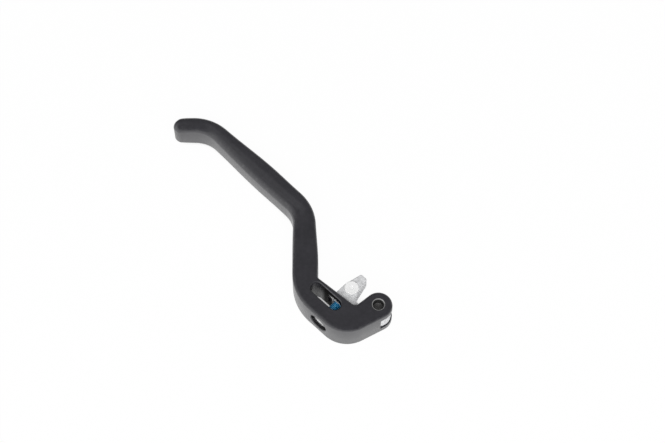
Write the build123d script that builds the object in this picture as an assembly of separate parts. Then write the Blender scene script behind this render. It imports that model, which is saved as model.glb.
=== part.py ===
from build123d import *

import os
from math import cos, radians, tan

# Brake lever for a hydraulic bicycle brake, with a screw that sets its reach.
# The frame: the origin is on the pivot axis at half the lever's thickness, and +Z runs along that axis.
# The finger blade runs along -X, fingers pull on its -Y side, and the handlebar lies towards +Y.
# All sizes are in millimetres, and angles in degrees.

# Pivot fork
fork_thickness = 12.5
fork_gap = 6.3
ear_radius = 4.9
ear_inner_lean = 6.0
outer_edge_lean = 17.0
fork_front_reach = 17.9
fork_rear_reach = 5.35
rear_edge_lean = 4.5
fork_edge_radius = 1.1
front_corner_radius = 11.0
valley_radius = 1.8
knee_inner_radius = 1.3
knee_outer_radius = 19.0
neck_lead = 1.5
side_wall = 2.3
pocket_depth = 16.2
pocket_corner_radius = 2.0

# Neck, finger blade and hooked tip
lever_reach = 103.9
neck_angle = 45.0
neck_crossing = 35.95
blade_offset = 9.1
neck_bend_radius = 14.0
hook_angle = 43.5
hook_bend_radius = 14.0
hook_length = 13.2
tip_radius = 2.2
neck_width = 9.0

# Sections from the neck to the tip: share of the way, reach to the front and to the rear, height,
# radius of the front corners and of the rear corners
blade_sections = [
    (0.12, 4.45, 4.4, 12.1, 2.0, 1.2),
    (0.24, 4.2, 3.85, 11.4, 2.8, 1.4),
    (0.36, 3.9, 3.85, 10.8, 3.3, 1.6),
    (0.50, 3.8, 4.2, 10.7, 3.3, 1.6),
    (0.65, 3.25, 3.9, 10.7, 3.0, 1.6),
    (0.80, 2.5, 3.45, 11.0, 2.0, 1.6),
    (0.90, 2.25, 3.5, 11.4, 1.6, 1.8),
    (1.00, 2.4, 3.2, 11.4, 2.6, 2.6),
]

# Pivot bore and its bushes
pivot_bore = 3.7
bush_wall = 0.55
bush_chamfer = 0.3

# Reach adjusting screw, an M3 with a socket head
screw_offset = 12.0
screw_diameter = 3.0
screw_point = 0.5
head_diameter = 5.9
head_thickness = 1.4
head_recess = 1.2
key_size = 2.5
key_depth = 1.0
key_hole_length = 7.3
key_hole_height = 6.4
bulkhead = 2.6
washer_diameter = 5.8
washer_thickness = 0.4
clip_diameter = 5.4
clip_thickness = 0.5
clip_groove_diameter = 2.3
clip_opening = 1.9
patch_diameter = 3.2
patch_core_diameter = 2.6
patch_length = 3.4
patch_gap = 0.5

# Window in the fork above and below the screw
window_length = 13.4
window_rim = 1.2
window_past_screw = 3.3
opening_chamfer = 0.3

# Thrust link and its trunnion nut
hub_radius = 4.5
nose_reach = 5.4
nose_tip_width = 2.8
nose_base_width = 8.6
nose_base_y = -5.0
patch_in_link = 0.5
link_notch_radius = 1.5
link_edge_radius = 0.35
hub_notch_angle = 190.0
hub_foot_angle = -75.0
nut_forward = 1.0
nut_diameter = 4.4
nut_head_diameter = 5.2
nut_head_height = 0.6
nut_dimple_diameter = 1.6
nut_dimple_depth = 0.2
nut_wall = 0.7
screw_past_nut_axis = 1.3
link_swing_out = 8.4
link_swing_in = 2.4

# Clearances
running_clearance = 0.05
thread_clearance = 0.1
side_clearance = 0.3
axial_clearance = 0.1
hub_clearance = 0.7
swing_clearance = 0.35

# Places that follow from the sizes above
front_y = -fork_front_reach
head_face_y = front_y + head_recess
head_seat_y = head_face_y + head_thickness + axial_clearance
wall_inner_y = head_seat_y + bulkhead
washer_face_y = wall_inner_y + washer_thickness
clip_start_y = washer_face_y + axial_clearance
patch_start_y = clip_start_y + clip_thickness + patch_gap
patch_end_y = patch_start_y + patch_length
link_foot_y = patch_end_y - patch_in_link
screw_x = -screw_offset
nut_y = -nut_forward
screw_end_y = nut_y + screw_past_nut_axis
link_thickness = fork_gap - 2 * side_clearance
ear_thickness = (fork_thickness - fork_gap) / 2
hook_corner = lever_reach - hook_length * cos(radians(hook_angle))
window_right = screw_x + window_past_screw
window_left = window_right - window_length
window_rear_y = window_left * tan(radians(rear_edge_lean)) - fork_rear_reach - window_rim
window_width = window_rear_y - wall_inner_y


def along(angle):
    """Unit vector at an angle in the plan, counted from +X towards +Y."""
    return Vector(1, 0).rotate(Axis.Z, angle)


def crossing(point_a, direction_a, point_b, direction_b):
    """Point where two lines of the plan meet."""
    between = point_b - point_a
    share = between.cross(direction_b).Z / direction_a.cross(direction_b).Z
    return point_a + direction_a * share


def upright(face, height, middle=0.0):
    """Plan face made solid, over a height centred on a level."""
    return Pos(0, 0, middle - height / 2) * extrude(face, height, dir=(0, 0, 1))


def turned(radius, start_y, end_y):
    """Cylinder on the screw's axis between two places along it."""
    middle = Pos(screw_x, (start_y + end_y) / 2, 0)
    return middle * Rot(90, 0, 0) * Cylinder(radius, end_y - start_y)


# Lines of the plan that the fork and the neck share
neck_direction = along(180 - neck_angle)
neck_rearward = along(90 - neck_angle)
neck_middle = Vector(-neck_crossing, 0)
neck_rear = neck_middle + neck_rearward * (neck_width / 2)
neck_front = neck_middle - neck_rearward * (neck_width / 2)
front_line = Vector(0, front_y)
rear_line = Vector(0, -fork_rear_reach)
rear_direction = along(rear_edge_lean)
ear_inner_start = along(180 - ear_inner_lean) * ear_radius
ear_outer_start = along(-outer_edge_lean) * ear_radius
valley = crossing(ear_inner_start, along(-90 - ear_inner_lean), rear_line, rear_direction)
knee_inner = crossing(rear_line, rear_direction, neck_rear, neck_direction)
knee_outer = crossing(front_line, Vector(1, 0), neck_front, neck_direction)
front_corner = crossing(front_line, Vector(1, 0), ear_outer_start, along(-90 - outer_edge_lean))

# The neck's own sections start where both of the knee's rounded corners have ended
inner_turn = radians(neck_angle + rear_edge_lean)
inner_end = knee_inner + neck_direction * (knee_inner_radius * tan(inner_turn / 2))
outer_end = knee_outer + neck_direction * (knee_outer_radius * tan(radians(neck_angle) / 2))
neck_run = max((corner - neck_middle).dot(neck_direction) for corner in (inner_end, outer_end)) + neck_lead
neck_start = neck_middle + neck_direction * neck_run


def fork_outline():
    """Plan of the fork and the knee: two ears' outline, front wall and the start of the neck."""
    half_width = neck_rearward * (neck_width / 2)
    corners = [
        ear_inner_start,
        valley,
        knee_inner,
        neck_start + half_width,
        neck_start - half_width,
        knee_outer,
        front_corner,
        ear_outer_start,
    ]
    radii = [valley_radius, knee_inner_radius, 0, 0, knee_outer_radius, front_corner_radius]
    edge = FilletPolyline(*corners, radius=radii)
    ear_end = ThreePointArc(ear_outer_start, along(90) * ear_radius, ear_inner_start)
    return make_face(edge.edges() + ear_end.edges())


def fork_body(outline):
    """The fork's outline at full thickness, with rounded edges except where the neck goes on."""
    body = upright(outline, fork_thickness)
    rims = [edge for edge in body.edges() if abs(edge.center().Z) > fork_gap / 2]
    rims = [edge for edge in rims if (edge.center() - neck_start).dot(neck_direction) < -neck_lead / 4]
    return fillet(rims, fork_edge_radius)


def blade_path():
    """Middle line from the neck's start through both bends to the tip."""
    neck_bend = crossing(neck_middle, neck_direction, Vector(0, blade_offset), Vector(1, 0))
    hook_bend = Vector(-hook_corner, blade_offset)
    tip = hook_bend + along(180 + hook_angle) * hook_length
    return FilletPolyline(neck_start, neck_bend, hook_bend, tip, radius=[neck_bend_radius, hook_bend_radius])


def blade_section(front, rear, height, front_corner, rear_corner):
    """Oblong whose front and rear corners are rounded apart; its local +X points to the rear."""
    shape = Pos((rear - front) / 2, 0) * Rectangle(front + rear, height)
    corners = shape.vertices().sort_by(Axis.X)
    shape = fillet(corners[:2], front_corner)
    return fillet(shape.vertices().sort_by(Axis.X)[-2:], rear_corner)


def blade_body():
    """Neck, finger blade and hook: rounded oblong sections carried along the middle line."""
    path = blade_path()
    half = neck_width / 2
    sections = [(0.0, half, half, fork_thickness, fork_edge_radius, fork_edge_radius)] + blade_sections
    faces = []
    for share, *sizes in sections:
        place = Plane(origin=path @ share, x_dir=(path % share).cross(Vector(0, 0, 1)), z_dir=path % share)
        faces.append(place * blade_section(*sizes))
    body = sweep(faces, path=path, multisection=True)
    end_face = body.faces().sort_by_distance(path @ 1)[0]
    return fillet(end_face.edges(), tip_radius)


def pocket_outline(outline):
    """Plan of the gap between the ears, open to the rear and round the pivot."""
    inside = offset(outline, amount=-side_wall)
    rear_mouth = Polygon(
        (-pocket_depth, wall_inner_y),
        (front_corner.X - side_wall, wall_inner_y),
        (0, 0),
        (0, ear_radius),
        (-pocket_depth, ear_radius),
    )
    room = fork_front_reach + 2 * ear_radius
    reach = RectangleRounded(room, room, pocket_corner_radius, align=(Align.MIN, Align.MIN))
    return (inside + rear_mouth) & (Pos(-pocket_depth, wall_inner_y) * reach)


def opening(length, width, depth):
    """Cutter for a long round-ended opening: it goes down from the origin's level, and its mouth is chamfered."""
    hole = extrude(SlotOverall(length, width), depth, dir=(0, 0, -1))
    mouth = SlotOverall(length + 2 * opening_chamfer, width + 2 * opening_chamfer)
    return hole + extrude(mouth, opening_chamfer, dir=(0, 0, -1), taper=45)


def window_solid():
    """Long window through both ears, over and under the screw."""
    place = Pos((window_left + window_right) / 2, (wall_inner_y + window_rear_y) / 2, fork_thickness / 2)
    upper = place * opening(window_length, window_width, fork_thickness / 2)
    return upper + mirror(upper, about=Plane.XY)


def key_hole_solid():
    """Oval pocket in the front wall that holds the screw's head and lets the key in."""
    mouth = Plane(origin=(screw_x, front_y, 0), x_dir=(1, 0, 0), z_dir=(0, -1, 0))
    return mouth * opening(key_hole_length, key_hole_height, head_seat_y - front_y)


def lever_blade():
    outline = fork_outline()
    body = fork_body(outline) + blade_body()
    hub_room = Circle(hub_radius + hub_clearance)
    body -= upright(pocket_outline(outline) + hub_room, fork_gap)
    body -= window_solid()
    body -= key_hole_solid()
    body -= turned(screw_diameter / 2 + thread_clearance, front_y, 0)
    body -= Cylinder(pivot_bore / 2 + bush_wall, 2 * fork_thickness)
    return body


def pivot_bush(side):
    """Plain bush that fills one ear's bore, chamfered where the pin goes in; side is 1 above, -1 below."""
    ring = Cylinder(pivot_bore / 2 + bush_wall, ear_thickness) - Cylinder(pivot_bore / 2, 2 * ear_thickness)
    mouth = ring.edges().filter_by(GeomType.CIRCLE).sort_by(SortBy.RADIUS)[:2].sort_by(Axis.Z)[-1]
    ring = chamfer(mouth, bush_chamfer)
    flip = Rot(0, 0, 0) if side > 0 else Rot(180, 0, 0)
    return flip * Pos(0, 0, fork_gap / 2 + ear_thickness / 2) * ring


def link_outline():
    """Plan of the thrust link: a hub on the pivot axis and a nose that points at the piston."""
    base_left = screw_x - nut_diameter / 2 - nut_wall
    nose_left = Vector(screw_x - nose_tip_width / 2, nose_reach)
    nose_right = Vector(screw_x + nose_tip_width / 2, nose_reach)
    waist_right = Vector(screw_x + nut_diameter / 2 + nut_wall, nut_y)
    notch = Vector(base_left + nose_base_width, nose_base_y)
    foot_left = Vector(base_left, link_foot_y)
    foot_right = Vector(notch.X, link_foot_y)
    hub_under = along(hub_foot_angle) * hub_radius
    hub_left = along(hub_notch_angle) * hub_radius
    corners = [
        hub_left,
        notch,
        waist_right,
        nose_right,
        nose_left,
        Vector(base_left, nut_y),
        foot_left,
        foot_right,
        hub_under,
    ]
    rounding = nose_tip_width / 4
    radii = [link_notch_radius, link_notch_radius, rounding, rounding, link_notch_radius, rounding, link_notch_radius]
    edge = FilletPolyline(*corners, radius=radii)
    closing = Line(hub_under, hub_left)
    return make_face(edge.edges() + closing.edges()) + Circle(hub_radius)


def thrust_link():
    link = upright(link_outline(), link_thickness)
    rims = [edge for edge in link.edges() if abs(edge.center().Z) > link_thickness / 2 - link_edge_radius]
    link = chamfer(rims, link_edge_radius)
    link -= Cylinder(pivot_bore / 2, 2 * link_thickness)
    link -= Pos(screw_x, nut_y, 0) * Cylinder(nut_diameter / 2 + running_clearance, 2 * link_thickness)
    half = screw_diameter / 2 + swing_clearance
    run = nut_y - link_foot_y
    slot = Polygon(
        (screw_x - half, nut_y),
        (screw_x - half - run * tan(radians(link_swing_in)), nut_y - run),
        (screw_x + half + run * tan(radians(link_swing_out)), nut_y - run),
        (screw_x + half, nut_y),
    )
    return link - upright(slot, 2 * half)


def trunnion_nut():
    """Cross nut that turns in the link: a plain shank, a domed head and the screw's hole across it."""
    head_start = link_thickness / 2 + axial_clearance
    shank = upright(Circle(nut_diameter / 2), head_start + link_thickness / 2, axial_clearance / 2)
    head = upright(Circle(nut_head_diameter / 2), nut_head_height, head_start + nut_head_height / 2)
    head = fillet(head.edges().sort_by(Axis.Z)[-1], nut_head_height / 2)
    dimple_level = head_start + nut_head_height
    dimple = upright(Circle(nut_dimple_diameter / 2), 2 * nut_dimple_depth, dimple_level)
    nut = Pos(screw_x, nut_y, 0) * (shank + head - dimple)
    return nut - turned(screw_diameter / 2 + thread_clearance, nut_y - nut_diameter, nut_y + nut_diameter)


def adjusting_screw():
    """Socket-head screw with a groove for its clip and a thinner stretch under the thread-lock patch."""
    head_end_y = head_face_y + head_thickness
    head = turned(head_diameter / 2, head_face_y, head_end_y)
    shank = turned(screw_diameter / 2, head_end_y, screw_end_y)
    shank = chamfer(shank.edges().filter_by(GeomType.CIRCLE).sort_by(Axis.Y)[-1], screw_point)
    body = head + shank
    groove = turned(head_diameter, clip_start_y, clip_start_y + clip_thickness)
    groove -= turned(clip_groove_diameter / 2, clip_start_y, clip_start_y + clip_thickness)
    waist = turned(head_diameter, patch_start_y, patch_end_y)
    waist -= turned(patch_core_diameter / 2, patch_start_y, patch_end_y)
    mouth = Plane(origin=(screw_x, head_face_y, 0), x_dir=(1, 0, 0), z_dir=(0, 1, 0))
    socket = extrude(mouth * RegularPolygon(key_size / 2, 6, major_radius=False), key_depth)
    return body - groove - waist - socket


def locking_patch():
    core = turned(patch_core_diameter / 2, patch_start_y, patch_end_y)
    return turned(patch_diameter / 2, patch_start_y, patch_end_y) - core


def thrust_washer():
    hole = turned(screw_diameter / 2 + thread_clearance, wall_inner_y, washer_face_y)
    return turned(washer_diameter / 2, wall_inner_y, washer_face_y) - hole


def retaining_clip():
    """Open ring pushed into the screw's groove from below."""
    end_y = clip_start_y + clip_thickness
    ring = turned(clip_diameter / 2, clip_start_y, end_y) - turned(clip_groove_diameter / 2, clip_start_y, end_y)
    mouth = Pos(screw_x, (clip_start_y + end_y) / 2, -clip_diameter / 2)
    return ring - mouth * Box(clip_opening, 2 * clip_thickness, clip_diameter)


nodes = {
    "lever_blade": lever_blade(),
    "upper_bush": pivot_bush(1),
    "lower_bush": pivot_bush(-1),
    "thrust_link": thrust_link(),
    "trunnion_nut": trunnion_nut(),
    "adjusting_screw": adjusting_screw(),
    "locking_patch": locking_patch(),
    "thrust_washer": thrust_washer(),
    "retaining_clip": retaining_clip(),
}

os.makedirs("parts", exist_ok=True)
for name, shape in nodes.items():
    export_step(shape, f"parts/{name}.step")
    print(name, round(shape.volume, 1), "cubic mm")
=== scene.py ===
# %% [markdown]
# # A bicycle brake lever
# The lever's solids come from a CAD program, in metres, with the origin on the pivot axis and +Z along it.
# This notebook keeps those solids where they are and gives them what a photograph shows and a solid doesn't:
# coatings, grain, wear, a real screw thread, and the light of a small studio.

import bmesh
import bpy
import numpy as np
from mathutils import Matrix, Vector


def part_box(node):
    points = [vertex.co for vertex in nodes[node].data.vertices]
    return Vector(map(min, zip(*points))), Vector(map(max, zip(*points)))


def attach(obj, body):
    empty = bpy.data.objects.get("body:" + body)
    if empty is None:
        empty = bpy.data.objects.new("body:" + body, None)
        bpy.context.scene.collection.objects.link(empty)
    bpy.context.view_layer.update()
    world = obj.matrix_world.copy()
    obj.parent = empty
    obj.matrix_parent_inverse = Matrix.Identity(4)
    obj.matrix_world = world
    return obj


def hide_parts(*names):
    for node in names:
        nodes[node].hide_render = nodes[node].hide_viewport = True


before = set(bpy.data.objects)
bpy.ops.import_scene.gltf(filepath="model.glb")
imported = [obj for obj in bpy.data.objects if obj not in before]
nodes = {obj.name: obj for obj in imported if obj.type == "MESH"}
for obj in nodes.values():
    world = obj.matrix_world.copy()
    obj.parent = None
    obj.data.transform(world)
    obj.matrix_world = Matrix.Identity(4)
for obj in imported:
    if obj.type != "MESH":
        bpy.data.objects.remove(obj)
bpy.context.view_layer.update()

MM = 0.001
print("solids:", sorted(nodes))

# %% [markdown]
# ## The camera
# The lever lies on its side on a white table, and the camera looks down at it from a bit more than half a
# metre. A camera could be placed by eye until the outline fits. Here its place was worked out once from the
# outline, so it is three plain facts: where it stands, what it looks at, and its focal length in pixels.

# %% Camera
photo_width = 665
focal_pixels = 1705
film_width = 36.0
camera_place = Vector((158.2, -185.0, 546.2)) * MM
looked_at = Vector((-38.4, 16.5, -6.25)) * MM


def look_from(thing, place):
    """Puts a camera or a lamp at a place in metres, turned to the point that is looked at."""
    thing.location = place
    thing.rotation_euler = (looked_at - place).to_track_quat("-Z", "Y").to_euler()
    bpy.context.scene.collection.objects.link(thing)
    print(thing.name, "is", round((looked_at - place).length, 3), "m from the lever")


camera_data = bpy.data.cameras.new("table_camera")
camera_data.sensor_width = film_width
camera_data.lens = focal_pixels / photo_width * film_width
camera = bpy.data.objects.new("table_camera", camera_data)
look_from(camera, camera_place)
bpy.context.scene.camera = camera
print("camera lens in mm:", round(camera_data.lens, 1))

# %% [markdown]
# ## Writing materials as sums
# A Blender material is a network of nodes. Clicked together by hand it is hard to read and to change.
# The class below wraps one output socket, so that `0.3 + 0.1 * clouds` adds the Math nodes by itself.
# Every other kind of node comes from its method `node`, which takes the type, the settings and the inputs.


# %% A wire between nodes
class Wire:
    """One output socket of a node tree. Arithmetic on wires adds Math nodes to that tree."""

    def __init__(self, tree, socket=None):
        self.tree = tree
        self.socket = socket

    def node(self, kind, settings=None, inputs=None, output=0):
        """Adds a node of this type, sets it up, then fills or links its inputs. Gives back one output."""
        node = self.tree.nodes.new(kind)
        for name, value in (settings or {}).items():
            setattr(node, name, value)
        for name, value in (inputs or {}).items():
            if isinstance(value, Wire):
                self.tree.links.new(value.socket, node.inputs[name])
            else:
                node.inputs[name].default_value = value
        return Wire(self.tree, node.outputs[output] if len(node.outputs) else None)

    def maths(self, operation, *values):
        """A Math node on these values, which are wires or plain numbers."""
        return self.node("ShaderNodeMath", {"operation": operation}, dict(enumerate(values)))

    def vector_maths(self, operation, *values, output=0):
        """A Vector Math node on these values, which are wires or plain vectors."""
        return self.node("ShaderNodeVectorMath", {"operation": operation}, dict(enumerate(values)), output)

    def __add__(self, other):
        return self.maths("ADD", self, other)

    def __radd__(self, other):
        return self.maths("ADD", other, self)

    def __sub__(self, other):
        return self.maths("SUBTRACT", self, other)

    def __rsub__(self, other):
        return self.maths("SUBTRACT", other, self)

    def __mul__(self, other):
        return self.maths("MULTIPLY", self, other)

    def __rmul__(self, other):
        return self.maths("MULTIPLY", other, self)

    def __abs__(self):
        return self.maths("ABSOLUTE", self)

    def ramp(self, low, high, start=0.0, end=1.0):
        """This value carried from low..high to start..end along a smooth S-curve, and held outside."""
        settings = {"interpolation_type": "SMOOTHSTEP"}
        inputs = {"Value": self, "From Min": low, "From Max": high, "To Min": start, "To Max": end}
        return self.node("ShaderNodeMapRange", settings, inputs)

    def between(self, low, high, soft):
        """1 where this value lies between low and high and 0 outside, with soft steps inside the two ends."""
        return self.ramp(low, low + soft) * self.ramp(high, high - soft)

    def colour_to(self, first, second):
        """A colour that goes from the first to the second as this value goes from 0 to 1."""
        settings = {"data_type": "RGBA", "clamp_factor": True}
        return self.node("ShaderNodeMix", settings, {0: self, 6: first, 7: second}, output=2)


# %% [markdown]
# ## The table and the light
# The photograph has a bare table that is burnt out to white, and soft light from all round. More lamps would
# burn the lever out as well. Instead the table glows for rays that come from the camera or off a glossy
# surface, and stays an ordinary white surface for all other light. The glow fades where the lever closes the
# table in, as below the lever's window, and so the shadow stays.
#
# A black satin part shows little of its own colour: its sides mirror the white table and its top mirrors the
# room. So the room does most of the work. It is dim, brighter towards the front, and dark round the camera.
# The one lamp is for the pale metals. It isn't mirrored, since it would show as a hard patch on satin rims.


# %% Kinds of rays
def ray_is(start, *kinds):
    """1 for a ray of these kinds, such as Camera or Glossy, and 0 for all other light."""
    found = 0.0
    for kind in kinds:
        found = found + start.node("ShaderNodeLightPath", output=f"Is {kind} Ray")
    return found.maths("MINIMUM", found, 1.0)


# %% Table
white = (1, 1, 1, 1)
table_grey = (0.85, 0.85, 0.85, 1)
table_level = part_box("lever_blade")[0][2]
table_reach = 3.0
table_glow = 0.97
closed_reach = 12 * MM
closed_in, open_again = 0.05, 0.4
glow_left = 0.25

table_mesh = bpy.data.meshes.new("table")
corner_signs = np.array([(-1, -1, 0), (1, -1, 0), (1, 1, 0), (-1, 1, 0)])
table_points = corner_signs * table_reach + np.array([0, 0, table_level])
table_mesh.from_pydata(table_points.tolist(), [], [(0, 1, 2, 3)])
table = bpy.data.objects.new("table", table_mesh)
bpy.context.scene.collection.objects.link(table)

table_paint = bpy.data.materials.new("table_white")
table_paint.use_nodes = True
table_paint.node_tree.nodes.clear()
start = Wire(table_paint.node_tree)
matte = start.node("ShaderNodeBsdfDiffuse", None, {"Color": table_grey})
glow = start.node("ShaderNodeEmission", None, {"Color": white, "Strength": 1.0})
openness = start.node("ShaderNodeAmbientOcclusion", {"samples": 8}, {"Distance": closed_reach}, output="AO")
share = table_glow * ray_is(start, "Camera", "Glossy", "Transmission")
share = share * openness.ramp(closed_in, open_again, glow_left, 1.0)
mixed = start.node("ShaderNodeMixShader", None, {0: share, 1: matte, 2: glow})
start.node("ShaderNodeOutputMaterial", None, {"Surface": mixed})
table_mesh.materials.append(table_paint)
print("table at", round(table_level / MM, 2), "mm")

# %% Room
room_dim = 0.24
room_bright = 1.12
bright_front = Vector((0.1, -0.85, 0.52))
bright_start, bright_full = 0.15, 0.9
paler_side = Vector((0.1, 0.06, 0.0))
to_camera = (camera_place - looked_at).normalized()
shade_edge, shade_full = np.cos(np.radians([45, 20]))
shade_left = 0.2

room = bpy.data.worlds.new("studio_room")
bpy.context.scene.world = room
room.use_nodes = True
room.node_tree.nodes.clear()
start = Wire(room.node_tree)
direction = start.node("ShaderNodeTexCoord", output="Generated")


def towards(aim):
    """How far the looked-at direction goes along this one: the dot product of the two vectors."""
    return start.vector_maths("DOT_PRODUCT", direction, aim, output="Value")


walls = towards(bright_front).ramp(bright_start, bright_full, room_dim, room_bright) + towards(paler_side)
walls = walls * towards(to_camera).ramp(shade_edge, shade_full, 1.0, shade_left)
strength = walls.maths("MAXIMUM", walls, ray_is(start, "Camera", "Transmission"))
sky = start.node("ShaderNodeBackground", None, {"Color": white, "Strength": strength})
start.node("ShaderNodeOutputWorld", None, {"Surface": sky})
print("room from", room_dim, "to", room_bright)

# %% Lamp
lamp_place = Vector((0.5, -0.5, 1.1))
lamp_watts = 17.0
lamp_size = 1.0

lamp_data = bpy.data.lights.new("soft_box", "AREA")
lamp_data.energy = lamp_watts
lamp_data.size = lamp_size
lamp = bpy.data.objects.new("soft_box", lamp_data)
lamp.visible_glossy = False
look_from(lamp, lamp_place)

# %% [markdown]
# ## Finishes
# Each finish starts the same way: a Principled shader, and the place on the object in metres as the pattern's
# coordinate. The lever could be unwrapped and painted. A pattern in the object's own space needs no
# unwrapping, has the same scale everywhere and stays put when the part moves.


# %% Starting and closing a finish
# Dull black for the painted shade in the lever's openings.
painted_shade_black = (0.006, 0.0055, 0.005, 1)


def new_finish(name):
    """An empty material, and the wire that carries the place on the object in metres."""
    paint = bpy.data.materials.new(name)
    paint.use_nodes = True
    paint.node_tree.nodes.clear()
    place = Wire(paint.node_tree).node("ShaderNodeTexCoord", output="Object")
    return paint, place


def close_finish(paint, place, painted_shade=None, **inputs):
    """Joins the inputs to a Principled shader and that to the output. The painted shade mixes dull black over
    it.
    """
    named = {name.replace("_", " "): value for name, value in inputs.items()}
    shader = place.node("ShaderNodeBsdfPrincipled", None, named)
    if painted_shade:
        covered = place.node("ShaderNodeBsdfDiffuse", None, {"Color": painted_shade_black})
        shader = place.node("ShaderNodeMixShader", None, {0: painted_shade, 1: shader, 2: covered})
    place.node("ShaderNodeOutputMaterial", None, {"Surface": shader})
    print("finish", paint.name, "has", len(paint.node_tree.nodes), "nodes")


# %% Patterns and distances
def grain(place, size_mm, detail=2.0, roughness=0.5):
    """Noise from 0 to 1 whose blots are about this many millimetres across."""
    inputs = {"Vector": place, "Scale": 1 / (size_mm * MM), "Detail": detail, "Roughness": roughness}
    return place.node("ShaderNodeTexNoise", None, inputs)


def relief(height, depth_mm, under=None):
    """A bumped normal, on top of another one: a height of 1 stands for this many millimetres."""
    inputs = {"Height": height, "Distance": depth_mm * MM}
    if under:
        inputs["Normal"] = under
    return height.node("ShaderNodeBump", None, inputs)


def part_of(vector, axis):
    """One coordinate of a vector."""
    return vector.node("ShaderNodeSeparateXYZ", None, {0: vector}, output=axis)


def from_axis(place, node, axis):
    """Distance in millimetres from the axis through the middle of a solid: what is left without that axis."""
    low, high = (Vector(corner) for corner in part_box(node))
    moved = place.vector_maths("SUBTRACT", place, (low + high) / 2)
    across = place.vector_maths("MULTIPLY", moved, Vector((1, 1, 1)) - Vector(axis))
    return place.vector_maths("LENGTH", across, output="Value") * (1 / MM)


along_y = (0, 1, 0)
along_z = (0, 0, 1)

# %% [markdown]
# ## The forging's soft shape
# The solid has the lever's form, but not the last touches of its die. On the real blade a soft ridge runs
# along the top and the band in front of it falls away, the front rims are tighter, and the tip's end is
# bowed. Each is a matter of a millimetre or so, but a satin surface shows every degree of tilt. They could be
# a bump in the material. Then the mesh itself would stay plain, so a copy of the solid gets the real shape.
#
# All of it follows the lever's middle line, which is three straight lines: neck, blade and hook. How far a
# point lies to the rear of all three is the largest of the three distances, and a smooth maximum rounds the
# two bends.

# %% Middle line
blade_line = 9.1
neck_crossing = -35.95
hook_corner_x = -94.3
hook_turn = np.radians(43.5)
bend_width = 2.0


def smooth_max(first, second, width):
    """The larger of two values, plus a cubic that rounds the corner where they are closer than the width."""
    closeness = np.maximum(width - abs(first - second), 0) / width
    return np.maximum(first, second) + closeness**3 * width / 6


def beside_hook(x, y):
    """How far a point in mm lies to the rear of the hook's line: the offset from its corner, turned."""
    return (y - blade_line) * np.cos(hook_turn) - (x - hook_corner_x) * np.sin(hook_turn)


def to_rear(x, y):
    """How far a point in mm lies to the rear of the middle line: the largest of three distances."""
    from_neck = (x - neck_crossing + y) * np.sqrt(0.5)
    return smooth_max(smooth_max(y - blade_line, from_neck, bend_width), beside_hook(x, y), bend_width)


print("hook turns by", round(np.degrees(hook_turn), 1), "degrees at x", hook_corner_x, "mm")

# %% [markdown]
# The ridge is made by scaling heights: what lies in front of it is pressed a little flatter, above and below
# alike. The tip is bowed by moving its end back along the hook, most at the sides and least in the middle.

# %% Ridge and bowed tip
ridge_place = 0.6
ridge_band = 2.3
ridge_width = 0.7
ridge_fall = 0.26
ridge_end, ridge_full = -34, -44
half_height = 6.0
hook_length = 13.2
tip_fade = 6.0
bow_rear, bow_front = 0.19, 0.17


def share_between(value, low, high):
    """How far a value has come from low to high, from 0 to 1."""
    return np.clip((value - low) / (high - low), 0, 1)


def height_left(x, y):
    """Share of the height that is left at a point in mm: it falls evenly over the band in front of the ridge,
    and the fall grows from nothing at the ridge's end along an S-curve."""
    past_ridge = smooth_max(ridge_place - to_rear(x, y), 0, ridge_width)
    past_ridge = -smooth_max(-past_ridge, -ridge_band, ridge_width)
    grown = share_between(x, ridge_end, ridge_full)
    return 1 - ridge_fall * past_ridge * grown**2 * (3 - 2 * grown) / half_height


def shaped(points):
    """Points in mm with the tip bowed and the ridge raised. Near the tip a point goes back along the hook by
    the square of its distance from the hook's line, and its height is scaled by what the ridge leaves."""
    x, y, z = points.T
    cosine, sine = np.cos(hook_turn), np.sin(hook_turn)
    from_end = hook_length + (x - hook_corner_x) * cosine + (y - blade_line) * sine
    near_tip = share_between(from_end, tip_fade, 0) ** 2
    aside = beside_hook(x, y)
    back = near_tip * np.where(aside > 0, bow_rear, bow_front) * aside**2
    x, y = x + cosine * back, y + sine * back
    return np.stack([x, y, z * height_left(x, y)], axis=1)


print("ridge falls", round(ridge_fall * ridge_band, 2), "mm over", ridge_band, "mm")

# %% [markdown]
# The solid's top is a few large triangles, which can't bend. So the copy is first cut into narrow strips
# along the three lines, and across the neck where the ridge begins. Each new triangle remembers the one that
# it was cut from.

# %% Copy of the lever, cut into strips
strips = np.arange(-2.6, 1.5, 0.2)
cut_before_x = -33 * MM
steepest_cut = 0.2
same_point = 0.001 * MM
same_plane = 0.01 * MM

whole = nodes["lever_blade"].data
marked = whole.copy()
marked.attributes.new("cut_from", "INT", "FACE").data.foreach_set("value", np.arange(len(whole.polygons)))
shape = bmesh.new()
shape.from_mesh(marked)
bmesh.ops.remove_doubles(shape, verts=shape.verts[:], dist=same_point)
cut = [face for face in shape.faces if face.calc_center_median().x < cut_before_x]
cut = [face for face in cut if abs(face.normal.z) > steepest_cut]
cut += list({edge for face in cut for edge in face.edges})
across_hook = (-np.sin(hook_turn), np.cos(hook_turn))
planes = [((0, blade_line + strip), (0, 1)) for strip in strips]
planes += [((neck_crossing, strip * np.sqrt(2)), (1, 1)) for strip in strips]
planes += [((hook_corner_x, blade_line + strip / np.cos(hook_turn)), across_hook) for strip in strips]
planes += [((x, 0), (1, 0)) for x in range(ridge_full, ridge_end + 1)]
for point, normal in planes:
    plane = {"plane_co": Vector((*point, 0)) * MM, "plane_no": Vector((*normal, 0))}
    cut = bmesh.ops.bisect_plane(shape, geom=cut, dist=same_plane, **plane)["geom"]
bmesh.ops.triangulate(shape, faces=shape.faces[:])
forging = bpy.data.meshes.new("forged_lever")
shape.to_mesh(forging)
shape.free()
bpy.data.meshes.remove(marked)
print("lever cut from", len(whole.polygons), "into", len(forging.polygons), "triangles")

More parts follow.
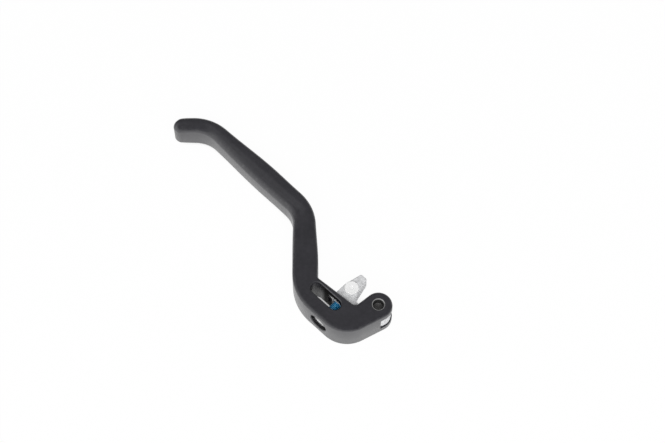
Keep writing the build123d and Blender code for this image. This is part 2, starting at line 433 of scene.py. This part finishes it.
# %% [markdown]
# The CAD program knows the exact normal at every corner of its triangles, and smooth reflections need them. A
# cut corner mixes its normal from the three of the triangle that it lies in.


# %% Normals of the copy
def read(items, key, width, kind=np.float64):
    """One property of all items of a mesh, as an array with this many columns."""
    values = np.zeros(len(items) * width, dtype=kind)
    items.foreach_get(key, values)
    return values.reshape(-1, width)


def corner_normals(points, corners):
    """Normals of the cut triangles' corners: each one is mixed from the three normals of the triangle that it
    was cut from, by the corner's shares of that triangle, which are ratios of areas."""
    source = read(forging.attributes["cut_from"].data, "value", 1, np.int32).ravel()
    triangle = read(whole.vertices, "co", 3)[read(whole.polygons, "vertices", 3, np.int32)[source]]
    normals = read(whole.corner_normals, "vector", 3).reshape(-1, 3, 3)[source]
    to_second, to_third = triangle[:, 1] - triangle[:, 0], triangle[:, 2] - triangle[:, 0]
    across = np.cross(to_second, to_third)
    area = np.maximum((across * across).sum(axis=1), np.finfo(float).tiny)[:, None]
    to_corner = points[corners] - triangle[:, :1]
    second = (np.cross(to_corner, to_third[:, None]) * across[:, None]).sum(axis=2) / area
    third = (np.cross(to_second[:, None], to_corner) * across[:, None]).sum(axis=2) / area
    shares = np.stack([1 - second - third, second, third], axis=2)
    return np.einsum("tcs,tsk->tck", np.clip(shares, 0, 1), normals)


points = read(forging.vertices, "co", 3)
corners = read(forging.polygons, "vertices", 3, np.int32)
normals = corner_normals(points, corners)
print("normals for", normals.shape[0] * normals.shape[1], "corners")

# %% [markdown]
# The front rims get a smaller radius. A smaller arc in the same corner has the same normals, a little further
# out, so each point is moved to where its own normal belongs, and no normal changes.

# %% Tighter front rims
step = 0.01
rim_change = 0.9
rim_start, rim_full, rim_fade, rim_end = -38, -50, -74, -92
facing_start, facing_full = 0.5, 0.9
least_lean = 0.02


def tighter_rims(points, corners, normals):
    """Points in mm with a smaller radius at the front rims. A point whose normal leans by an angle from
    upright goes outwards by 1 less the angle's sine, and away from half the thickness by 1 less its cosine,
    both times the change of radius."""
    x, y, z = points.T
    lean = np.zeros_like(points)
    np.add.at(lean, corners, normals)
    lean /= np.linalg.norm(lean, axis=1, keepdims=True)
    sine = np.hypot(lean[:, 0], lean[:, 1])
    outwards = lean[:, :2].T / np.maximum(sine, least_lean)
    rise_x = to_rear(x + step, y) - to_rear(x - step, y)
    rise_y = to_rear(x, y + step) - to_rear(x, y - step)
    facing = -(outwards[0] * rise_x + outwards[1] * rise_y) / np.hypot(rise_x, rise_y)
    change = rim_change * share_between(facing, facing_start, facing_full)
    change = change * share_between(x, rim_start, rim_full) * share_between(x, rim_end, rim_fade)
    out_x, out_y = change * (1 - sine) * outwards
    return np.stack([x + out_x, y + out_y, z + change * (1 - abs(lean[:, 2])) * np.sign(z)], axis=1)


points = tighter_rims(points / MM, corners, normals)
print("front rims tighter by up to", rim_change, "mm of radius")

# %% [markdown]
# Ridge and bow do turn the normals. Three slopes say how the shape moves when a point is shifted along X, Y
# or Z, and the cross products of each two of them carry the old normal to the new one.

# %% Forged lever
slopes = [(shaped(points + shift) - shaped(points - shift)) / (2 * step) for shift in np.eye(3) * step]
turned = np.stack([np.cross(slopes[k - 2], slopes[k - 1]) for k in range(3)], axis=2)
normals = np.einsum("tckn,tcn->tck", turned[corners], normals)
normals /= np.linalg.norm(normals, axis=2, keepdims=True)
points = shaped(points)
forging.attributes.remove(forging.attributes["cut_from"])
forging.vertices.foreach_set("co", (points * MM).ravel())
forging.shade_smooth()
forging.normals_split_custom_set(normals.reshape(-1, 3).tolist())
forged_lever = bpy.data.objects.new("forged_lever", forging)
bpy.context.scene.collection.objects.link(forged_lever)
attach(forged_lever, "lever")
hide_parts("lever_blade")
print("forged lever reaches from", points.min(axis=0).round(2), "to", points.max(axis=0).round(2), "mm")

# %% [markdown]
# ## Black coating
# The lever is forged aluminium under a thin satin black coating. The coating follows the blasted metal below,
# so it has a fine tooth that spreads reflections, and slightly uneven gloss. At the rounded rims it is rubbed
# greyer, and behind the hook it is nicked down to the metal. The rims could be painted by hand. Here they are
# found by their tilt: a flat face looks straight up or sideways, and only a rounded edge looks in between.
# Shade is painted in as dull black in the window beside the screw and in the key hole.
#
# The side walls are crowned by a hair. That one is a bump, as it is too little to show in the outline: its
# height falls with the square of the distance from half the thickness.

# %% Tooth, wear and nicks
tooth_size, tooth_depth = 0.22, 0.03
nick_from, nick_to = -100.5, -93.5
crown_radius = 25.0

coating, place = new_finish("black_coating")
across_x, across_y, height_z = (part_of(place, axis) * (1 / MM) for axis in "XYZ")
crown = height_z * height_z * (-0.5 / crown_radius)
tooth = grain(place, tooth_size, detail=3.0, roughness=0.6)
mottle = grain(place, 1.3, detail=4.0, roughness=0.6)
clouds = grain(place, 6.0, detail=3.0)
shade = (0.3 * clouds + 0.4 * mottle + 0.3 * tooth).ramp(0.3, 0.7)
tilt = abs(part_of(place.node("ShaderNodeNewGeometry", output="Normal"), "Z"))
rim = tilt.ramp(0.35, 0.6) * tilt.ramp(0.97, 0.8)
rubbed = rim * grain(place, 1.4, detail=4.0).ramp(0.5, 0.75)
behind_hook = across_x.ramp(nick_from, nick_from + 1) * across_x.ramp(nick_to, nick_to - 1.5)
behind_hook = behind_hook * beside_hook(across_x, across_y).ramp(0.5, 1.5)
nicks = rim * behind_hook * grain(place, 0.5, detail=2.0).ramp(0.62, 0.68)

# %% Painted shade in the openings
window_left, window_right = -22.3, -8.5
window_front, window_back = -12.8, -8.1
window_depth = 5.95
painted_shade_start, painted_shade_full = -20, -17.5
key_hole_x = -12
key_hole_radius = 3.2
key_hole_straight = 0.45

window = across_x.between(window_left, window_right, 0.1) * across_y.between(window_front, window_back, 0.1)
window = window * height_z.between(-window_depth, window_depth, 0.1)
key_side = place.maths("MAXIMUM", abs(across_x - key_hole_x) - key_hole_straight, 0.0)
from_key = place.maths("SQRT", key_side * key_side + height_z * height_z)
key_hole = from_key.ramp(key_hole_radius + 0.1, key_hole_radius)
key_hole = key_hole * across_y.ramp(window_front, window_front - 0.4)
# Painted shade: the window towards the screw and the key hole are darkened with dull black in place of their
# shadow.
painted_shade = 0.85 * window * across_x.ramp(painted_shade_start, painted_shade_full) + 0.6 * key_hole

# %% Black coating
deep_black = (0.005, 0.0047, 0.0085, 1)
pale_black = (0.0135, 0.0127, 0.0185, 1)
rubbed_grey = (0.06, 0.06, 0.062, 1)
bare_metal = (0.55, 0.55, 0.56, 1)

worn = (0.4 * rubbed).colour_to(shade.colour_to(deep_black, pale_black), rubbed_grey)
close_finish(
    coating,
    place,
    painted_shade,
    Base_Color=nicks.colour_to(worn, bare_metal),
    Metallic=nicks,
    Roughness=0.28 + 0.1 * clouds + 0.14 * shade - 0.06 * rubbed,
    IOR=1.8,
    Coat_Weight=0.45 + 0.3 * shade,
    Coat_Roughness=0.35,
    Normal=relief(tooth, tooth_depth, relief(crown, 1.0)),
)
forging.materials.clear()
forging.materials.append(coating)

# %% [markdown]
# ## Bare metals
# The thrust link is a matte grey casting with a fine grain, and its bore is darkened as painted shade. Noise
# of two sizes gives the grain. The trunnion nut, the bushes, the screw and its spring steel are turned, and
# turning leaves rings. They could be an anisotropic shader. Here they are a sine wave of the distance from
# the axis, which shows the single rings from close by. One function makes all four steels: they differ in how
# bright they are, in where painted shade darkens them near the axis, and in where black paint covers them.

# %% Link metal
link_dark = (0.52, 0.52, 0.53, 1)
link_pale = (0.92, 0.93, 0.94, 1)
painted_bore_shade = (0.1, 0.095, 0.09, 1)
bore_edge, bore_inside = 2.3, 1.8

cast_metal, place = new_finish("link_metal")
sand = grain(place, 0.16, detail=4.0, roughness=0.65)
patches = grain(place, 1.2, detail=4.0)
# Painted shade: the link is darkened towards the pivot axis, in its bore.
bore_shade = from_axis(place, "upper_bush", along_z).ramp(bore_edge, bore_inside)
grey = (0.5 * sand + 0.5 * patches).ramp(0.25, 0.75).colour_to(link_dark, link_pale)
close_finish(
    cast_metal,
    place,
    Base_Color=(0.85 * bore_shade).colour_to(grey, painted_bore_shade),
    Metallic=0.25,
    Roughness=0.4 + 0.2 * sand - 0.1 * bore_shade,
    Normal=relief(sand, 0.04),
)


# %% Turned steel
def turned_steel(name, node, axis, bright, ring_mm, metallic, rough, shaded_within_mm=0.0, painted_mm=9.0):
    """Steel with fine rings: a sine wave of the distance from the solid's axis, smeared by noise. Nearer than
    the shaded distance it is darkened as painted shade, and past the painted distance black paint darkens it."""
    paint, place = new_finish(name)
    radius = from_axis(place, node, axis)
    turn = radius * (2 * np.pi / ring_mm)
    rings = 0.5 + 0.5 * turn.maths("SINE", turn)
    smear = grain(place, 0.6, detail=3.0)
    clean = radius.ramp(shaded_within_mm - 0.12, shaded_within_mm) * radius.ramp(painted_mm + 0.06, painted_mm)
    dark, dull, pale = ((share * bright, share * bright, share * bright, 1) for share in (0.16, 0.8, 1.0))
    metal = (0.4 * rings + 0.6 * smear).colour_to(dull, pale)
    close_finish(
        paint,
        place,
        Base_Color=clean.colour_to(dark, metal),
        Metallic=metallic,
        Roughness=rough + 0.14 * smear,
        Normal=relief(rings, 0.002),
    )
    return paint


# Painted shade darkens the bush's bore and the screw's hex socket, groove and thread roots near their axes.
nut_steel = turned_steel("bright_steel", "trunnion_nut", along_z, 0.98, 0.2, 0.12, 0.25)
bush_steel = turned_steel("bush_steel", "upper_bush", along_z, 0.8, 0.15, 0.9, 0.3, 2.12, 2.24)
screw_steel = turned_steel("screw_steel", "adjusting_screw", along_y, 0.9, 0.2, 0.9, 0.26, 1.46)
spring_steel = turned_steel("spring_steel", "adjusting_screw", along_y, 0.045, 0.2, 0.5, 0.4)

# %% [markdown]
# ## Blue nylon
# A band of blue nylon on the screw's thread keeps it from turning by itself. Its crests get a painted
# highlight in pale blue flecks. The crests are simply what lies furthest from the screw's axis.

# %% Blue nylon
deep_blue = (0.002, 0.12, 0.28, 1)
mid_blue = (0.007, 0.22, 0.46, 1)
crest_highlight_blue = (0.25, 0.58, 0.78, 1)
crest_highlight_start, crest_highlight_full = 1.56, 1.6

nylon, place = new_finish("blue_nylon")
flecks = grain(place, 0.3, detail=3.0)
# Painted highlight: pale blue flecks on the crests of the nylon thread.
crest_highlight = from_axis(place, "adjusting_screw", along_y).ramp(crest_highlight_start, crest_highlight_full) * flecks.ramp(0.35, 0.65)
close_finish(
    nylon,
    place,
    Base_Color=crest_highlight.colour_to(flecks.colour_to(deep_blue, mid_blue), crest_highlight_blue),
    Roughness=0.3 + 0.15 * flecks,
    Normal=relief(flecks, 0.02),
)

# %% [markdown]
# ## A threaded screw
# The solid of the reach screw is plain, because a thread is slow to cut in CAD and nothing there needs it.
# In Blender a thread could come from the Screw modifier or from a bump. Here it is a surface worked out as a
# grid: columns go round the axis and rows go along it. Rows of the threaded stretch climb by one pitch per
# turn, so each row stays on one crest, flank or root, and a few rows per pitch give clean edges.


# %% From grids to one closed piece
def closed_piece(name, grids, body, finish, stands_for):
    """Grids of points in mm, cut into triangles. Equal points are merged, which closes seams and poles, and
    triangles without area are dropped. The sign of the volume tells whether to turn the faces outwards."""
    corners = []
    for grid in grids:
        a, b, c, d = grid[:-1, :-1], grid[:-1, 1:], grid[1:, 1:], grid[1:, :-1]
        corners.append(np.stack([a, b, c, a, c, d], axis=2).reshape(-1, 3))
    points, index = np.unique(np.round(np.concatenate(corners), 5), axis=0, return_inverse=True)
    faces = index.reshape(-1, 3)
    faces = faces[(faces != np.roll(faces, 1, axis=1)).all(axis=1)]
    first, second, third = (points[faces[:, k]] for k in range(3))
    volume = (np.cross(first, second) * third).sum() / 6
    if volume < 0:
        faces = faces[:, ::-1]
    mesh = bpy.data.meshes.new(name)
    mesh.from_pydata((points * MM).tolist(), [], faces.tolist())
    mesh.shade_smooth()
    mesh.set_sharp_from_angle(angle=np.radians(35))
    mesh.materials.append(finish)
    piece = bpy.data.objects.new(name, mesh)
    bpy.context.scene.collection.objects.link(piece)
    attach(piece, body)
    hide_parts(stands_for)
    print(name, len(faces), "triangles,", round(abs(volume), 1), "cubic mm")


# %% Turned and threaded grids
around = 72
angle = np.linspace(0, 2 * np.pi, around + 1)
pitch = 0.5
rows_per_pitch = 8
crest_flatness = 0.8


def box_in_mm(node):
    """Lowest and highest corner of a solid, in millimetres."""
    return [np.array(corner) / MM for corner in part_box(node)]


screw_low, screw_high = box_in_mm("adjusting_screw")
screw_x, _, screw_z = (screw_low + screw_high) / 2


def on_axis(along, radius):
    """Points at this place along the screw's axis and this far from it, with one column for each angle."""
    along, radius, turn = np.broadcast_arrays(along, radius, angle)
    return np.stack([screw_x + radius * np.cos(turn), along, screw_z + radius * np.sin(turn)], axis=-1)


def turned_grid(profile):
    """A profile of (place along the axis, radius) turned about the axis."""
    along, radius = np.array(profile, dtype=float).T
    return on_axis(along[:, None], radius[:, None])


def thread_grid(start, end, crest, depth, run_out, point=0.0):
    """A thread: the radius falls from crest to root with the place along the axis less the climb of the turn,
    as a cosine wave that is clipped to flat crests and roots. Its depth fades over the run-out at both ends.
    A pointed end has no run-out: there a cone cuts the thread off."""
    turns = int(np.ceil((end - start) / pitch)) + 1
    row = np.arange(-rows_per_pitch, turns * rows_per_pitch + 1)[:, None]
    along = np.clip(start + pitch * (row / rows_per_pitch + angle / (2 * np.pi)), start, end)
    phase = (along - start) / pitch - angle / (2 * np.pi)
    wave = np.clip(0.5 - crest_flatness * np.cos(2 * np.pi * phase), 0, 1)
    fade = np.clip((along - start) / run_out, 0, 1)
    if not point:
        fade = fade * np.clip((end - along) / run_out, 0, 1)
    radius = crest - depth * wave * fade
    if point:
        radius = np.minimum(radius, crest - point + (end - along))
    return on_axis(along, radius)


# %% [markdown]
# The screw's head sits in the key hole and takes a hex key. Its face is dished, which catches the light.
# Behind the head come a plain shank, the groove for the retaining clip, a waist under the nylon, and the
# thread down to its point. The socket's outline is a circle's radius divided by the cosine of the angle from
# the middle of the nearest flat, which gives a hexagon on the same columns as the turned shaft.

# %% Socket of the head
head_radius = (screw_high[0] - screw_low[0]) / 2
head_face = screw_low[1]
key_across = 2.5
key_depth = 1.0
drill_point = 0.3
mouth_depth = 0.08
mouth_width = 0.1
dish_depth = 0.45
dish_radius = 2.6

sixth = np.pi / 3
key_radius = key_across / 2 / np.cos(angle % sixth - sixth / 2)
key_mouth = key_radius.max() + mouth_width
socket_depth = np.array([key_depth + drill_point, key_depth, dish_depth + mouth_depth, dish_depth])
socket_radius = np.stack([0 * angle, key_radius, key_radius, 0 * angle + key_mouth])
socket = on_axis((head_face + socket_depth)[:, None], socket_radius)
print("hex socket", key_across, "mm across, head", round(2 * head_radius, 2), "mm across")

# %% Head, shank and thread
screw_end = screw_high[1]
shank_radius = 1.5
core_radius = 1.3
groove_radius = 1.15
head_height = 1.4
head_edge = 0.25
under_edge = 0.1
thread_depth = 0.28
thread_run_out = 0.4
thread_point = 0.5
patch_low, patch_high = box_in_mm("locking_patch")
patch_start, patch_end = patch_low[1], patch_high[1]
clip_low, clip_high = box_in_mm("retaining_clip")
groove_start, groove_end = clip_low[1], clip_high[1]

bend = np.linspace(0, np.pi / 2, 7)
edge_along = head_face + head_edge * (1 - np.cos(bend))
edge_radius = head_radius - head_edge * (1 - np.sin(bend))
head_back = head_face + head_height
shaft = [(head_face + dish_depth, key_mouth), (head_face, dish_radius)]
shaft += list(zip(edge_along, edge_radius))
shaft += [
    (head_back - under_edge, head_radius),
    (head_back, head_radius - under_edge),
    (head_back, shank_radius),
    (groove_start, shank_radius),
    (groove_start, groove_radius),
    (groove_end, groove_radius),
    (groove_end, shank_radius),
    (patch_start, shank_radius),
    (patch_start, core_radius),
    (patch_end, core_radius),
    (patch_end, shank_radius),
]
thread = thread_grid(patch_end, screw_end, shank_radius, thread_depth, thread_run_out, thread_point)
end_cap = turned_grid([(screw_end, shank_radius - thread_point), (screw_end, 0)])
screw_grids = [socket, turned_grid(shaft), thread, end_cap]
closed_piece("reach_screw", screw_grids, "screw", screw_steel, "adjusting_screw")

# %% Thread-lock sleeve
sleeve_radius = (patch_high[0] - patch_low[0]) / 2
sleeve_depth = 0.2
sleeve_run_out = 0.25

sleeve = thread_grid(patch_start, patch_end, sleeve_radius, sleeve_depth, sleeve_run_out)
inside = turned_grid(
    [
        (patch_end, sleeve_radius),
        (patch_end, core_radius),
        (patch_start, core_radius),
        (patch_start, sleeve_radius),
    ]
)
closed_piece("thread_lock_sleeve", [sleeve, inside], "screw", nylon, "locking_patch")

# %% [markdown]
# ## Finishes on the solids
# A solid whose shape is right stays, and only its material is changed. The three solids that the forged
# lever, the screw and its sleeve stand for get theirs too, although they are hidden.

# %% Finishes on the solids
finishes = {
    "lever_blade": coating,
    "upper_bush": bush_steel,
    "lower_bush": bush_steel,
    "thrust_link": cast_metal,
    "trunnion_nut": nut_steel,
    "adjusting_screw": screw_steel,
    "locking_patch": nylon,
    "thrust_washer": spring_steel,
    "retaining_clip": spring_steel,
}
for name, finish in finishes.items():
    nodes[name].data.materials.clear()
    nodes[name].data.materials.append(finish)
print("finishes put on", len(finishes), "solids")

# %% [markdown]
# ## Finish
# The dressed lever has to stay inside the box of its solids.

# %% Finish
bpy.context.scene.view_settings.view_transform = "Standard"
